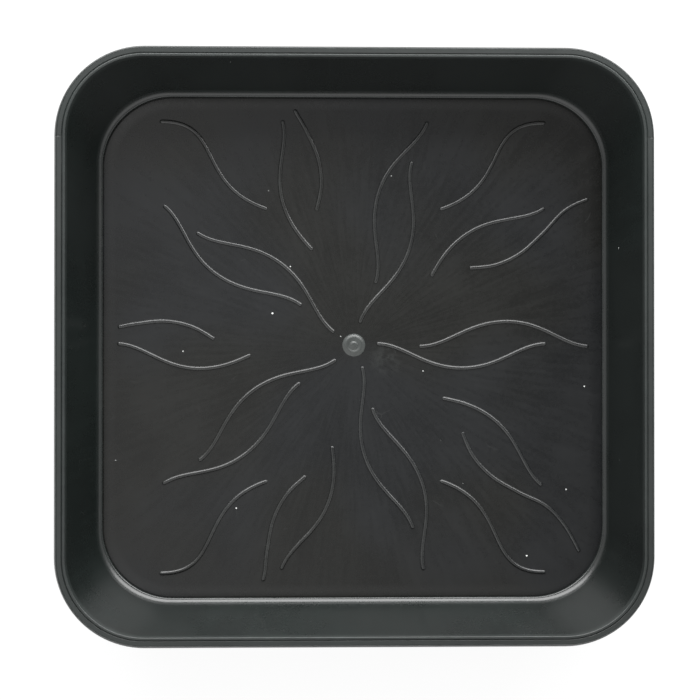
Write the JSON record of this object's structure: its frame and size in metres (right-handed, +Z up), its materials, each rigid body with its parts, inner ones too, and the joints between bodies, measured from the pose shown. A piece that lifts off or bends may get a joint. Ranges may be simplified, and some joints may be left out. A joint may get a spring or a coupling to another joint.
{
  "type": "square plant saucer",
  "caption": "Square black plastic plant saucer with rounded corners, a flared wall and rolled rim, and waved ribs on its floor that hold a pot above the drained water.",
  "frame": {"origin": "on the table under the middle of the saucer", "axes": "+Z up through the open top; X and Y along the sides, with +Y to the back of the picture and +X to its right"},
  "size_m": [0.3, 0.3, 0.045],
  "materials": {
    "moulded_plastic": "satin, as moulded",
    "gate_plastic": "matt, slightly paler where the plastic was cut at the gate"
  },
  "bodies": {
    "root": {"floor_panel": "moulded_plastic", "foot_ledge": "moulded_plastic", "side_wall": "moulded_plastic", "rim_lip": "moulded_plastic", "gate_collar": "gate_plastic", "gate_pip": "gate_plastic", "sprue_stub": "gate_plastic", "rib_long_inner_1": "moulded_plastic", "rib_long_inner_2": "moulded_plastic", "rib_long_inner_3": "moulded_plastic", "rib_long_inner_4": "moulded_plastic", "rib_long_inner_5": "moulded_plastic", "rib_long_outer_1": "moulded_plastic", "rib_long_outer_2": "moulded_plastic", "rib_long_outer_3": "moulded_plastic", "rib_long_outer_4": "moulded_plastic", "rib_long_outer_5": "moulded_plastic", "rib_short_inner_1": "moulded_plastic", "rib_short_inner_2": "moulded_plastic", "rib_short_inner_3": "moulded_plastic", "rib_short_inner_4": "moulded_plastic", "rib_short_inner_5": "moulded_plastic", "rib_short_outer_1": "moulded_plastic", "rib_short_outer_2": "moulded_plastic", "rib_short_outer_3": "moulded_plastic", "rib_short_outer_4": "moulded_plastic", "rib_short_outer_5": "moulded_plastic", "rib_corner_1": "moulded_plastic", "rib_corner_2": "moulded_plastic", "rib_corner_3": "moulded_plastic", "rib_corner_4": "moulded_plastic"}
  },
  "joints": []
}
